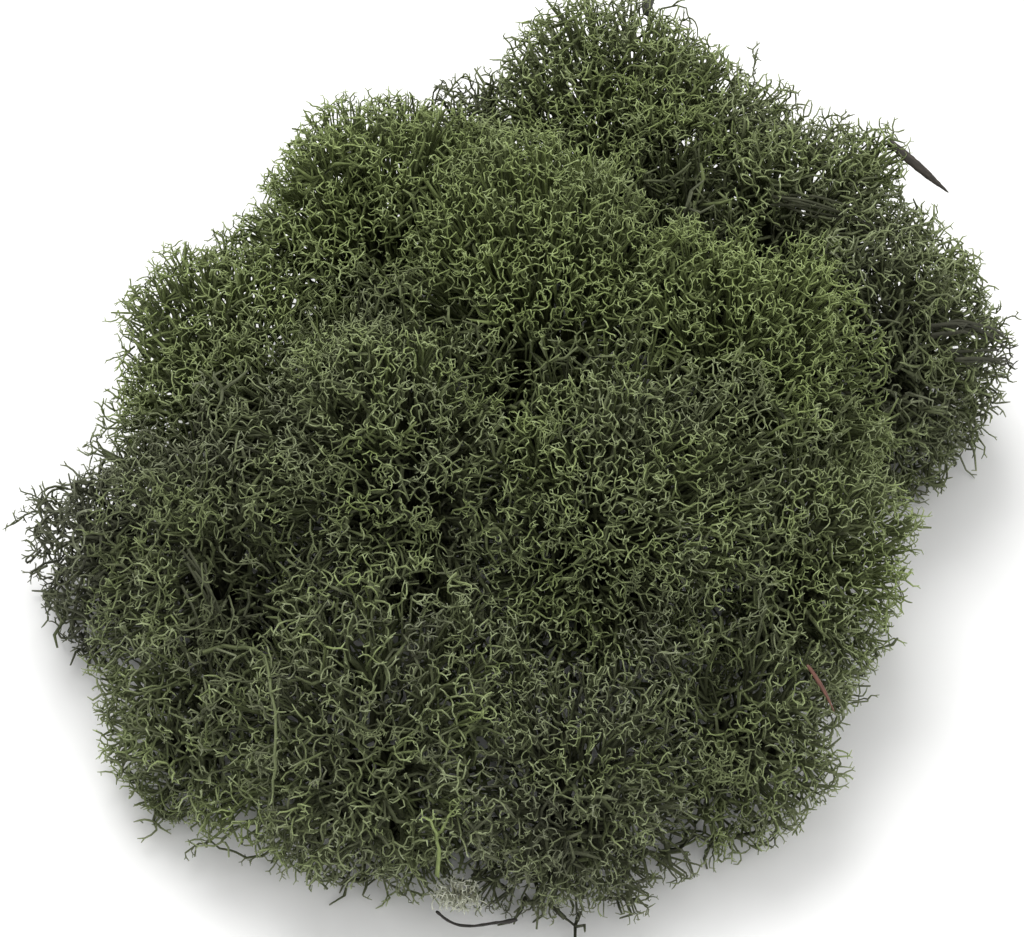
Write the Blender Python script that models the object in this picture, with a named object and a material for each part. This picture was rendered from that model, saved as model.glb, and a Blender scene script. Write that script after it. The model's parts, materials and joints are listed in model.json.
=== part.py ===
"""Moss clump: heads of reindeer moss pressed together into one loose cushion, with the
plant scraps that are caught in it.

Each head of moss is one closed solid that reaches the tips of its branches: a lumpy dome that
narrows to the flat patch where it was torn from the ground. Heads meet along flat faces with a
narrow gap. The frame has +Z up, and its origin is on the ground under the middle of the clump.
"""

import math

import bmesh
import bpy
from mathutils import Matrix, Vector, noise

MM = 0.001

# Driving dimensions, in metres.
GAP = 0.3 * MM  # left between two pieces that touch
FOOT_DEPTH = 1.6  # how far a head's lower half would reach, as a share of its centre's height
LUMP_SIZE = 11 * MM  # width of the soft lumps on a head
LUMP_SHARE = 0.085  # height of a lump, as a share of the head's radius
AROUND = 22  # corners round one head
RINGS = 12  # bands from the top of a head to its foot

# Each head of moss: where its middle is (x, y, z), how wide it is (radius) and how far its
# crown rises above its middle, all in millimetres.
HEADS = {
    "crown_left": ((-17.5, 26.5, 26), 21.0, 21),
    "crown_middle": ((5, 14, 30), 24.0, 24),
    "crown_right": ((37, 1, 27), 21.0, 21),
    "back_top": ((18.5, 46.5, 23), 21.5, 19),
    "back_shoulder": ((41.5, 31, 23), 19.5, 19),
    "back_right": ((56, 10.5, 19), 19.5, 18),
    "back_small": ((-5, 46.5, 19), 14.0, 15),
    "back_middle": ((26, 27, 27), 15.0, 17),
    "left_top": ((-38.5, 3.5, 22), 20.0, 18),
    "left_side": ((-55.5, -21, 12), 14.0, 13),
    "left_middle": ((-41, -26, 20), 20.0, 18),
    "middle": ((-16, -17, 30), 24.0, 21),
    "middle_right": ((16.5, -22.5, 28), 24.5, 21),
    "right_side": ((40.5, -25, 19), 19.5, 18),
    "front_left": ((-42.5, -47.5, 12), 15.0, 14),
    "front_middle": ((-19.5, -55, 18), 21.5, 18),
    "front_bottom": ((10.5, -62, 15), 18.0, 17),
    "right_lower": ((33.5, -51.5, 14), 16.5, 15),
}

MOSS_COLOURS = {
    "olive": (0.085, 0.105, 0.045, 1),
    "grey_green": (0.070, 0.085, 0.050, 1),
    "dark_green": (0.045, 0.062, 0.035, 1),
}
HEAD_COLOURS = {
    "back_top": "grey_green",
    "back_shoulder": "grey_green",
    "back_right": "grey_green",
    "back_small": "dark_green",
    "back_middle": "dark_green",
    "left_side": "dark_green",
}

# The plant scraps. A strip is (length, width, thickness, bow), in metres.
SPLINTER = (12 * MM, 1.5 * MM, 0.6 * MM, 0.2 * MM)
NEEDLE = (7.5 * MM, 0.8 * MM, 0.6 * MM, 0.3 * MM)
STALK_LENGTH, STALK_RADIUS, STALK_FOOT_RADIUS = 3.6 * MM, 0.55 * MM, 0.38 * MM
FIBRE_RADIUS = 0.2 * MM
# The fibre bows from one front head to the next, through these places in millimetres.
FIBRE_PATH = (
    (-9.1, -76.2, 5),
    (-7.2, -77.6, 4.6),
    (-5, -78.5, 5),
    (-1.4, -79.2, 7),
    (2.2, -79.8, 9.2),
)
SCRAP_MIDDLE = (-5.9, -75.2, 8.2)
SCRAP_SIZE = (3.4, 1.2, 2.7)


def clear_scene():
    for obj in list(bpy.data.objects):
        bpy.data.objects.remove(obj)


def material(name, colour, roughness):
    made = bpy.data.materials.get(name)
    if made:
        return made
    made = bpy.data.materials.new(name)
    made.use_nodes = True
    shader = made.node_tree.nodes["Principled BSDF"]
    shader.inputs["Base Color"].default_value = colour
    shader.inputs["Roughness"].default_value = roughness
    shader.inputs["Metallic"].default_value = 0.0
    made.diffuse_color = colour
    return made


def add_object(name, bm, finish):
    mesh = bpy.data.meshes.new(name)
    bm.to_mesh(mesh)
    bm.free()
    mesh.materials.append(finish)
    mesh.shade_smooth()
    mesh.set_sharp_from_angle(angle=math.radians(40))
    obj = bpy.data.objects.new(name, mesh)
    bpy.context.scene.collection.objects.link(obj)
    return obj


def head_centre(name):
    return Vector(HEADS[name][0]) * MM


def dividing_planes(name):
    """The planes where a head meets the others, as (normal towards the other, distance from
    this head's middle). Each plane passes through the circle where two round heads cross."""
    centre = head_centre(name)
    radius = HEADS[name][1] * MM
    planes = []
    for other, (_, other_radius, _) in HEADS.items():
        if other == name:
            continue
        apart = head_centre(other) - centre
        length = apart.length
        across = length**2 + radius**2 - (other_radius * MM) ** 2
        planes.append((apart / length, across / (2 * length) - GAP / 2))
    return planes


def lumpy(name, way):
    """How far the soft lumps push a head's surface in or out, as a share of its radius."""
    place = head_centre(name) + way * HEADS[name][1] * MM
    broad = noise.noise(place / LUMP_SIZE)
    fine = noise.noise(place / LUMP_SIZE * 2.1 + Vector((7, 3, 5)))
    return 1 + LUMP_SHARE * (1.5 * broad + 0.7 * fine)


def reach(name, way, planes):
    """How far a head's surface is from its middle in one direction."""
    (_, _, height), radius, rise = HEADS[name]
    depth = rise if way.z > 0 else height * FOOT_DEPTH
    flat = (way.x**2 + way.y**2) / (radius * MM) ** 2
    upright = way.z**2 / (depth * MM) ** 2
    far = lumpy(name, way) / math.sqrt(flat + upright)
    for normal, distance in planes:
        towards = way.dot(normal)
        if towards > 1e-6:
            far = min(far, distance / towards)
    if way.z < -1e-6:
        far = min(far, -height * MM / way.z)
    return far


def surface_point(name, way, above=0.0):
    way = Vector(way).normalized()
    return head_centre(name) + way * (reach(name, way, dividing_planes(name)) + above)


def build_head(name):
    bm = bmesh.new()
    bmesh.ops.create_uvsphere(bm, u_segments=AROUND, v_segments=RINGS, radius=1)
    planes = dividing_planes(name)
    centre = head_centre(name)
    for vert in bm.verts:
        way = vert.co.normalized()
        vert.co = centre + way * reach(name, way, planes)
    tone = HEAD_COLOURS.get(name, "olive")
    return add_object(name, bm, material(tone, MOSS_COLOURS[tone], 0.9))


def lay(bm, place, along, outward):
    """Turns a piece modelled along +X with its top to +Z, and puts it in place."""
    x = Vector(along).normalized()
    z = (Vector(outward) - x * Vector(outward).dot(x)).normalized()
    turned = Matrix((x, z.cross(x), z)).transposed().to_4x4()
    bmesh.ops.transform(bm, matrix=Matrix.Translation(place) @ turned, verts=bm.verts)


def build_strip(name, sizes, place, along, outward, finish):
    """A pointed strip, widest near its torn end and bowed along its length."""
    length, width, thick, bow = sizes
    bm = bmesh.new()
    steps = 8
    rings = []
    for i in range(steps + 1):
        share = i / steps
        taper = max(math.sin(math.pi * (0.2 + 0.78 * share)), 0.1)
        half = width / 2 * taper
        x = (share - 0.5) * length
        z = bow * (1 - (2 * share - 1) ** 2)
        corners = ((-half, 0), (0, thick / 2 * taper), (half, 0), (0, -thick / 2 * taper))
        rings.append([bm.verts.new((x, y, z + dz)) for y, dz in corners])
    for first, second in zip(rings, rings[1:]):
        for k in range(4):
            bm.faces.new((first[k], first[(k + 1) % 4], second[(k + 1) % 4], second[k]))
    bm.faces.new(rings[0][::-1])
    bm.faces.new(rings[-1])
    bmesh.ops.recalc_face_normals(bm, faces=bm.faces)
    lay(bm, place, along, outward)
    return add_object(name, bm, finish)


def build_splinter():
    """A dark splinter of bark caught on the rim of the back shoulder."""
    place = surface_point("back_shoulder", (0.91, 0.31, 0.26), 2.2 * MM)
    finish = material("bark", (0.028, 0.022, 0.018, 1), 0.6)
    build_strip("bark_splinter", SPLINTER, place, (0.76, -0.53, -0.37), (0, -0.5, 0.7), finish)


def build_needle():
    """A red-brown pine needle lying on the lower right head."""
    outward = Vector((0.66, -0.08, 0.75))
    place = surface_point("right_lower", outward, 0.9 * MM)
    finish = material("needle", (0.10, 0.035, 0.022, 1), 0.5)
    build_strip("pine_needle", NEEDLE, place, (0.5, -0.71, -0.5), outward, finish)


def build_stalk():
    """A short cut stalk that stands off the crown of the back head."""
    bm = bmesh.new()
    bmesh.ops.create_cone(
        bm,
        cap_ends=True,
        segments=12,
        radius1=STALK_FOOT_RADIUS,
        radius2=STALK_RADIUS,
        depth=STALK_LENGTH,
    )
    way = Vector((0.17, 0.81, 0.57)).normalized()
    foot = surface_point("back_top", way, GAP + STALK_FOOT_RADIUS)
    turn = way.to_track_quat("Z", "Y").to_matrix().to_4x4()
    place = Matrix.Translation(foot + way * STALK_LENGTH / 2)
    bmesh.ops.transform(bm, matrix=place @ turn, verts=bm.verts)
    return add_object("cut_stalk", bm, material("stalk", (0.05, 0.052, 0.04, 1), 0.8))


def build_fibre():
    """A wiry root fibre that hangs in a shallow bow in front of the clump's foot."""
    curve = bpy.data.curves.new("root_fibre", "CURVE")
    curve.dimensions = "3D"
    curve.bevel_depth = FIBRE_RADIUS
    curve.bevel_resolution = 2
    curve.resolution_u = curve.render_resolution_u = 3
    curve.use_fill_caps = True
    spline = curve.splines.new("BEZIER")
    spline.bezier_points.add(len(FIBRE_PATH) - 1)
    for point, place in zip(spline.bezier_points, FIBRE_PATH):
        point.co = Vector(place) * MM
        point.handle_left_type = point.handle_right_type = "AUTO"
    curve.materials.append(material("fibre", (0.012, 0.011, 0.009, 1), 0.7))
    obj = bpy.data.objects.new("root_fibre", curve)
    bpy.context.scene.collection.objects.link(obj)
    return obj


def build_scrap():
    """A small scrap of moss that took no dye."""
    bm = bmesh.new()
    bmesh.ops.create_icosphere(bm, subdivisions=3, radius=1)
    for vert in bm.verts:
        way = vert.co.normalized()
        swell = 1 + 0.18 * noise.noise(way * 1.7)
        vert.co = Vector([(m + a * b * swell) * MM for m, a, b in zip(SCRAP_MIDDLE, way, SCRAP_SIZE)])
    return add_object("pale_scrap", bm, material("undyed", (0.42, 0.44, 0.33, 1), 0.9))


def stand_on_origin():
    """Moves every piece so that the origin is under the middle of the clump."""
    bpy.context.view_layer.update()
    corners = [
        obj.matrix_world @ Vector(corner)
        for obj in bpy.data.objects
        for corner in obj.bound_box
    ]
    low = [min(c[k] for c in corners) for k in range(3)]
    high = [max(c[k] for c in corners) for k in range(3)]
    middle = Vector(((low[0] + high[0]) / 2, (low[1] + high[1]) / 2, 0))
    for obj in bpy.data.objects:
        obj.location -= middle


def main():
    clear_scene()
    for name in HEADS:
        build_head(name)
    build_splinter()
    build_needle()
    build_stalk()
    build_fibre()
    build_scrap()
    stand_on_origin()


main()
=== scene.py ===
"""Looks of the moss clump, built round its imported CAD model.

Each head of moss is a real tangle: stalks rise from the torn foot and fork three times, and
every fork ends in a sprig of curled end branches. The same Geometry Nodes tree grows all the
heads. The plant scraps caught in the moss are modelled one by one.
"""

import json
import math

import bmesh
import bpy
import numpy as np
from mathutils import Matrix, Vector, noise
from mathutils.bvhtree import BVHTree
from mathutils.kdtree import KDTree

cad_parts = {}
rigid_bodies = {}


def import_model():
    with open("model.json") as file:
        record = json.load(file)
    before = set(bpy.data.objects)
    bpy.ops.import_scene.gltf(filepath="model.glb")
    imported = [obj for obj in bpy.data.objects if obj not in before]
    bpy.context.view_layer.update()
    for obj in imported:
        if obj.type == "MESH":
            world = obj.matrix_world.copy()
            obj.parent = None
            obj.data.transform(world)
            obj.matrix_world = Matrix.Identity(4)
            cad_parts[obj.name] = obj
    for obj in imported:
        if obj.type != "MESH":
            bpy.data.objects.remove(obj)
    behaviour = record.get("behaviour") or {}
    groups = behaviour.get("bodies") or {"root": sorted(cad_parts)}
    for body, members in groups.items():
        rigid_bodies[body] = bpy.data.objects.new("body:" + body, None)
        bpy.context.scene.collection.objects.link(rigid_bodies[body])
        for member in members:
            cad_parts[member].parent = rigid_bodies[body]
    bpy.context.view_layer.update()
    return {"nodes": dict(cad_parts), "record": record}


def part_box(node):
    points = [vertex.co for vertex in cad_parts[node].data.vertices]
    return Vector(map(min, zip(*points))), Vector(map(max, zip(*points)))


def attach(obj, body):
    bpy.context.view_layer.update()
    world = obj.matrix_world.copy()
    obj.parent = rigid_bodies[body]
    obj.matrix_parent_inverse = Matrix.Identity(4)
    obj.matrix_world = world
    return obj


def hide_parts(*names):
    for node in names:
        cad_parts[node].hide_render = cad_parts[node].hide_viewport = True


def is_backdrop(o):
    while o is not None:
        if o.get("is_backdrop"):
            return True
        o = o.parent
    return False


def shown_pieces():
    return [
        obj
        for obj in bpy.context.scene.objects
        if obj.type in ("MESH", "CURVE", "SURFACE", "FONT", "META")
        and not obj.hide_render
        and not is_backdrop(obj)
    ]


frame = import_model()
MM = 0.001

# How each head grows: its tint (0 dull grey-olive, 1 bright green), how coarse its branches
# are (1 is fine moss) and how open the tangle is (0 closed, 1 very open).
MOSS_HEADS = {
    "crown_left": (1.00, 0.98, 0.00),
    "crown_middle": (0.95, 0.92, 0.00),
    "crown_right": (0.95, 0.95, 0.00),
    "back_top": (0.75, 1.12, 0.10),
    "back_shoulder": (0.65, 1.20, 0.15),
    "back_right": (0.34, 1.35, 0.00),
    "back_small": (0.55, 1.05, 0.30),
    "back_middle": (0.48, 0.95, 0.10),
    "left_top": (0.85, 1.02, 0.10),
    "left_side": (0.12, 1.45, 0.80),
    "left_middle": (0.30, 1.10, 0.25),
    "middle": (0.42, 1.00, 0.10),
    "middle_right": (0.58, 1.00, 0.10),
    "right_side": (0.60, 1.00, 0.15),
    "front_left": (0.45, 1.30, 0.50),
    "front_middle": (0.46, 1.20, 0.35),
    "front_bottom": (0.22, 0.95, 0.10),
    "right_lower": (0.42, 1.05, 0.30),
}
MOSS_SLOTS = {p["node"]: p["material_slot"] for p in frame["record"]["subparts"]}

# Heads that run into one another without a step. The rest of the heads make one more bank.
BACK_BANK = ("back_top", "back_shoulder", "back_right", "back_small", "back_middle")
LEFT_BANK = ("left_side",)
MAIN_BANK = tuple(node for node in MOSS_HEADS if node not in BACK_BANK + LEFT_BANK)
THICK_HEADS = BACK_BANK + LEFT_BANK + ("left_top", "crown_left")  # no light comes through
BLEND = 6.0 * MM  # how softly neighbouring heads of a bank blend into one another

# Heads where long stems show between the sprigs: how many there are, and how strongly they
# are combed round the clump (0 to 1).
COMBED = {
    "back_right": (100, 0.75),
    "back_shoulder": (60, 0.75),
    "back_top": (60, 0.70),
    "back_small": (20, 0.50),
    "left_side": (60, 0.30),
    "left_middle": (45, 0.20),
    "left_top": (20, 0.20),
    "middle": (30, 0.20),
    "middle_right": (25, 0.20),
    "front_left": (50, 0.25),
    "front_middle": (60, 0.25),
    "right_lower": (25, 0.20),
    "right_side": (20, 0.20),
}
STEM_STEP = 0.85 * MM
STEM_POINTS = 9
STEM_LIFT = (-1.0 * MM, 0.9 * MM)  # how high they arch over the even surface
STRAYS = 8  # short stems that stand off the rim of each head

# Deep hollows: the head, the way to the hollow from the middle of the head's box, and its
# width and depth in millimetres. Where the depth is negative the moss swells out instead.
HOLLOWS = (
    ("left_middle", (0.20, -0.67, 0.72), 12, 8),
    ("front_left", (0.27, 0.01, 0.96), 9, 6),
    ("left_middle", (-0.85, -0.05, 0.52), 10, 7),
    ("right_lower", (-0.20, -0.05, 0.98), 8, 4),
    ("front_middle", (-0.04, -0.60, 0.80), 6, 3),
    ("middle", (-0.41, -0.79, 0.46), 6, 3),
    ("back_middle", (0.05, -0.10, 0.99), 11, 5),
    ("back_shoulder", (0.07, -0.56, 0.83), 6, 6),
    ("back_small", (-0.11, 0.26, 0.96), 8, 4),
    ("back_right", (-0.07, -0.18, 0.98), 5, 4),
    ("right_lower", (-0.27, -0.96, -0.07), 9, 6),
    ("front_bottom", (0.73, -0.66, -0.15), 9, 3),
    ("left_side", (-1.00, -0.10, 0.0), 14, 5),
    ("left_side", (-0.26, -0.96, -0.05), 8, 5),
    ("front_left", (-0.37, -0.92, -0.10), 7, 4),
    ("right_side", (0.97, -0.20, -0.10), 8, 3),
    ("back_top", (-0.40, 0.72, 0.56), 17, -3.5),
    ("back_top", (0.25, 0.80, 0.54), 12, -1.5),
    ("crown_left", (-0.10, 0.82, 0.56), 15, -3),
    ("left_top", (-0.72, 0.56, 0.40), 15, -3),
    ("back_shoulder", (0.74, 0.55, 0.38), 10, -1.5),
)

# Single stems that stand out: the head they belong to, their radius in millimetres, the share of places that
# fork, their tint, their age and painted depth shade (their place up the colour map from the dark foot to the
# pale tips), and the places they pass through, in millimetres from the middle of the head's box.
SINGLE_STEMS = (
    ("left_side", 0.26, 0.5, 0.3, 0.35,
     ((-2.5, 4, -4), (-6.7, 6.7, -1.1), (-10.2, 8.1, -1.1), (-12.2, 7.9, -1.6), (-14.7, 6.4, -2.1))),
    ("left_side", 0.24, 0.5, 0.3, 0.35,
     ((-2.5, 1, -6), (-5.9, 2.8, -4), (-8.2, 3.9, -4), (-10.4, 2.4, -4), (-12.3, 4.4, -4))),
    ("left_side", 0.24, 0.3, 0.3, 0.30, ((-1.5, 0, -6), (-3.7, -2.2, -6), (-5.6, -6, -7), (-5.9, -9.7, -7.6))),
    ("left_side", 0.24, 0.3, 0.3, 0.30,
     ((-1.5, -2, -6), (-4.3, -5.1, -7), (-3.2, -9, -8), (-2.1, -11.2, -9), (-3, -11.9, -9))),
    ("front_middle", 0.24, 0.4, 0.4, 0.40,
     ((-12, -9, -13), (-15.5, -10.8, -14.7), (-19.2, -9.5, -14.7), (-22.9, -8.3, -14.7), (-24.9, -9.5, -14.7))),
    ("front_middle", 0.38, 0.6, 0.45, 0.52,
     ((-22.3, 8.3, 9.4), (-17.7, 9.9, 8.6), (-13.3, 5.5, 13.0), (-11.8, -2.4, 16.2), (-11.2, -10.8, 13.6), (-11.6, -14.3, 9.8))),
    ("front_middle", 0.40, 0.2, 0.95, 0.72, ((10.6, -18.6, -5.8), (10.9, -19.6, 0.4), (10.6, -17.8, 4.8), (9, -17, 7.6))),
    ("front_middle", 0.34, 0.2, 0.95, 0.72, ((10.7, -18.0, 3.6), (11.4, -16.9, 5.2), (12.6, -15.6, 6.6))),
    ("back_top", 0.22, 0.5, 0.3, 0.45,
     ((5.4, 12, 9), (4.8, 15.5, 11.9), (5.2, 18.5, 11.9), (7.0, 19.8, 11.9), (9.0, 18.8, 11.9), (9.6, 15.5, 11.5), (8.8, 12, 9))),
    ("back_top", 0.20, 0.5, 0.3, 0.45, ((7.3, 11, 9), (7.9, 15.3, 11.9), (9.5, 17.1, 11.9), (10.9, 15.3, 11.9), (10.6, 12, 9))),
    ("back_top", 0.20, 0.6, 0.3, 0.40, ((18.6, 2, 8), (19.2, 4.2, 10.9), (19.5, 7.8, 10.9), (19.3, 10.9, 10.9))),
    ("back_shoulder", 0.20, 0.6, 0.3, 0.40, ((7.6, 10, 4), (8.2, 12.7, 5.7), (8.6, 15.4, 5.7), (9.2, 16.7, 5.7))),
    ("crown_left", 0.26, 0.4, 0.2, 0.15, ((-2, 19, 0), (-4.4, 20.5, 0.2), (-6.4, 21.6, 0.2), (-7.4, 22.6, 0.2))),
)

# Matted bundles of old, dark stems: the head, the stems' radius in millimetres, how many there are, how far apart
# they lie, their tint, their age and painted depth shade (their place up the colour map), and the places they
# pass through.
BUNDLES = (
    ("back_right", 0.34, 6, 0.6, 0.0, 0.0,
     ((5.0, -4.6, 13.4), (8.6, -4.2, 13.6), (11.4, -3.1, 11.6), (14.4, -1.6, 8.2), (16.0, -0.2, 5.0))),
    ("back_right", 0.32, 5, 0.6, 0.05, 0.05,
     ((7.6, -7.8, 10.8), (10.2, -7.4, 10.4), (12.8, -6.0, 8.2), (15.4, -3.9, 4.8), (16.8, -2.6, 2.2))),
    ("back_shoulder", 0.26, 6, 1.0, 0.2, 0.15,
     ((-3.0, -9.0, 17.0), (2.0, -11.0, 18.2), (8.0, -10.6, 15.4), (12.4, -8.6, 10.0))),
    ("left_middle", 0.24, 6, 1.3, 0.2, 0.25,
     ((-2.0, -10.0, 14.0), (0.6, -14.6, 11.4), (3.0, -17.4, 6.6), (3.6, -18.6, 1.0))),
    ("middle_right", 0.20, 5, 1.1, 0.2, 0.25,
     ((-9.0, 2.0, 16.6), (-5.6, 6.2, 16.4), (-3.0, 10.6, 14.8), (-2.0, 14.6, 12.0))),
)

SPRIG_SPACING = 1.37 * MM  # between neighbouring sprigs on the outside of fine moss
UNDER_SPACING = 4.6 * MM  # the same, for the layer of older branches below them
UNDER_DEPTH = (2.0 * MM, 6.0 * MM)  # how deep that layer lies
DEEP_DEPTH = (6.0 * MM, 10.0 * MM)  # and a thinner layer under it
FOOT_SPACING = 3.2 * MM  # between the flattened branches on the torn underside
LUMP_WIDTH = 9.0 * MM  # one rounded tuft on a head's surface
LUMP_DEPTH = 3.0 * MM  # the deepest creases between tufts
POCKET_WIDTH = 4.6 * MM  # one dark pocket in the surface, or the stretch between two
POCKET_DEPTH = 3.8 * MM
BULGE_WIDTH = 14 * MM  # the soft swells of the whole surface
BULGE_HEIGHT = 3.0 * MM
GROOVE_REACH = 12.0 * MM  # how far round a point the surface is evened out between heads
SIDES = 3  # corners round a stalk
STALK_WIDTHS = {"foot": 0.55 * MM, "fork": 0.36 * MM, "branch": 0.22 * MM, "tip": 0.15 * MM}
PRESS_HEIGHT = 1.0 * MM  # below this height branches are pressed flat on the ground
VIEW_TILT = math.radians(55)  # the main view looks down this steeply
TOWARDS_VIEWER = np.array((0, -math.cos(VIEW_TILT), math.sin(VIEW_TILT)))


# ---------------------------------------------------------------- surface of the heads


def triangles_of(node):
    """Corners and outward normals of a CAD node's triangles, and their areas."""
    mesh = frame["nodes"][node].data
    mesh.calc_loop_triangles()
    places = np.empty(len(mesh.vertices) * 3)
    mesh.vertices.foreach_get("co", places)
    corners = np.empty(len(mesh.loop_triangles) * 3, int)
    mesh.loop_triangles.foreach_get("vertices", corners)
    corners = places.reshape(-1, 3)[corners.reshape(-1, 3)]
    normals = np.cross(corners[:, 1] - corners[:, 0], corners[:, 2] - corners[:, 0])
    doubled = np.linalg.norm(normals, axis=1)
    return corners, normals / np.maximum(doubled, 1e-15)[:, None], doubled / 2


def scatter(node, per_area, rng):
    """Random points on a node's surface with their normals."""
    corners, normals, areas = triangles_of(node)
    count = int(areas.sum() * per_area)
    chosen = rng.choice(len(areas), count, p=areas / areas.sum())
    a, b = rng.random((2, count))
    flip = a + b > 1
    a[flip], b[flip] = 1 - a[flip], 1 - b[flip]
    first, second, third = corners[chosen].transpose(1, 0, 2)
    points = first + a[:, None] * (second - first) + b[:, None] * (third - first)
    return points, normals[chosen]


def all_heads_tree():
    """A ray-cast tree of every head's surface."""
    corners = np.concatenate([triangles_of(node)[0] for node in MOSS_HEADS])
    faces = np.arange(len(corners) * 3).reshape(-1, 3)
    return BVHTree.FromPolygons(corners.reshape(-1, 3).tolist(), faces.tolist())


def unit(vectors):
    return vectors / np.maximum(np.linalg.norm(vectors, axis=-1, keepdims=True), 1e-12)


def smoothstep(low, high, value):
    share = np.clip((value - low) / (high - low), 0, 1)
    return share * share * (3 - 2 * share)


def outside_points(rng):
    """Points on the part of each head's surface that can be seen, on the faces where heads
    meet, and on the torn foot."""
    tree = all_heads_tree()
    open_air, joins, feet = {}, {}, {}
    for node in MOSS_HEADS:
        points, normals = scatter(node, 2.4 / MM**2, rng)
        underside = (normals[:, 2] < -0.9) & (points[:, 2] < 0.3 * MM)
        low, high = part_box(node)
        middle = np.array([[(low.x + high.x) / 2, (low.y + high.y) / 2, 0]])
        feet[node] = np.concatenate([middle, points[underside]])
        points, normals = points[~underside], normals[~underside]
        seen = np.array([
            tree.ray_cast(Vector(p + n * 0.2 * MM), Vector(n), 8 * MM)[0] is None
            for p, n in zip(points, normals)
        ])
        open_air[node] = points[seen], normals[seen]
        joins[node] = points[~seen], normals[~seen]
    return open_air, joins, feet


def even_out(open_air):
    """Fills the grooves between the heads of each bank, so that a bank reads as one cushion."""
    evened = {}
    for bank in (BACK_BANK, LEFT_BANK, MAIN_BANK):
        evened.update(even_bank({node: open_air[node] for node in bank}))
    return evened


def even_bank(surfaces):
    """Moves each point along its normal towards the middle of the surface round it."""
    points = np.concatenate([p for p, _ in surfaces.values()])
    normals = np.concatenate([n for _, n in surfaces.values()])
    sparse_points, sparse_normals = points[::24], normals[::24]
    tree = KDTree(len(sparse_points))
    for i, place in enumerate(sparse_points):
        tree.insert(place, i)
    tree.balance()
    evened = {}
    for node, (own, own_normals) in surfaces.items():
        moved, turned = own.copy(), own_normals.copy()
        for i, place in enumerate(own):
            near = [k for _, k, _ in tree.find_range(place, GROOVE_REACH)]
            if len(near) < 4:
                continue
            lean = sparse_normals[near].mean(0)
            lean /= max(np.linalg.norm(lean), 1e-9)
            rise = (sparse_points[near].mean(0) - place) @ lean
            moved[i] = place + lean * max(rise * 2.0 + 1.2 * MM, -0.5 * MM)
            turned[i] = lean
        evened[node] = moved, turned
    return evened


def middle_of(node):
    low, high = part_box(node)
    return np.array((low + high) / 2)


def blended(node, kind, points):
    """A head's tint (kind 0) or coarseness (kind 1) at each point, blended with those of its
    bank's other heads along ragged borders."""
    bank = next(bank for bank in (BACK_BANK, LEFT_BANK, MAIN_BANK) if node in bank)
    warp = np.array([noise.noise_vector(Vector(p) / (7 * MM)) for p in points])
    warped = points + warp * 5 * MM
    reach = []
    for other in bank:
        low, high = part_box(other)
        wide = (high.x - low.x + high.y - low.y) / 4
        apart = ((warped - middle_of(other)) ** 2).sum(1)
        reach.append((wide**2 - apart) / (2 * BLEND**2))
    share = np.exp(reach - np.max(reach, axis=0))
    values = np.array([MOSS_HEADS[other][kind] for other in bank])
    return (share * values[:, None]).sum(0) / share.sum(0)


def hollow_places():
    """Where the deep hollows are, with their widths and depths."""
    tree = all_heads_tree()
    found = []
    for node, way, width, depth in HOLLOWS:
        way = Vector(way).normalized()
        far = Vector(middle_of(node)) + way * 60 * MM
        place = tree.ray_cast(far, -way)[0]
        found.append((np.array(place), width * MM, depth * MM))
    return found


def lumps(points, normals, hollows):
    """Pushes the creases between small tufts, and scattered pockets, inwards. Returns the new
    points, the way each one faces, and how deep in a crease, pocket or hollow it is."""
    moved, facing, hollow = points.copy(), normals.copy(), np.empty(len(points))
    bowls, sunk = np.zeros((2, len(points)))
    for place, width, depth in hollows:
        share = 1 - smoothstep(0.25, 1.0, np.linalg.norm(points - place, axis=1) / width)
        bowls = np.maximum(bowls, share * (depth > 0))
        sunk = sunk + share * depth
    for i, place in enumerate(points):
        spot = Vector(place)
        warp = noise.noise_vector(spot / (6 * MM)) * 0.4
        cell = spot / LUMP_WIDTH + warp
        (near, next_near, *_), (middle, *_) = noise.voronoi(cell)
        edge = 1 - smoothstep(0.0, 0.32, next_near - near)
        broad = smoothstep(-0.25, 0.35, noise.noise(spot / (16 * MM) + Vector((3, 8, 1))))
        pocket = smoothstep(0.16, 0.42, noise.noise(spot / POCKET_WIDTH + Vector((9, 2, 4))))
        pocket *= 0.35 + 0.65 * broad
        fine = noise.noise(spot / (3 * MM))
        crease = edge * (0.2 + 0.8 * broad)
        drop = LUMP_DEPTH * crease + POCKET_DEPTH * pocket
        drop += 1.0 * MM * near * near + 0.7 * MM * (0.5 - fine)
        drop -= BULGE_HEIGHT * noise.noise(spot / BULGE_WIDTH + Vector((1, 7, 3)))
        drop += sunk[i]
        moved[i] = place - normals[i] * drop
        lean = np.array(cell - middle)
        lean -= normals[i] * (lean @ normals[i])
        facing[i] = normals[i] + 0.8 * lean
        hollow[i] = max(crease, pocket, 2.2 * bowls[i])
    return moved, unit(facing), hollow


def thin_out(points, spacing):
    """Keeps points at least their own spacing apart. Returns the kept indices."""
    cell = spacing.max()
    grid, kept = {}, []
    keys = np.floor(points / cell).astype(int)
    for i, (place, key, room) in enumerate(zip(points, keys, spacing)):
        x, y, z = key
        near = [
            k
            for a in (x - 1, x, x + 1)
            for b in (y - 1, y, y + 1)
            for c in (z - 1, z, z + 1)
            for k in grid.get((a, b, c), ())
        ]
        if near:
            gaps = points[near] - place
            if (np.einsum("ij,ij->i", gaps, gaps) < room * room).any():
                continue
        grid.setdefault((x, y, z), []).append(i)
        kept.append(i)
    return np.array(kept, int)


# ---------------------------------------------------------------- the tangle of stalks


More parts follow.
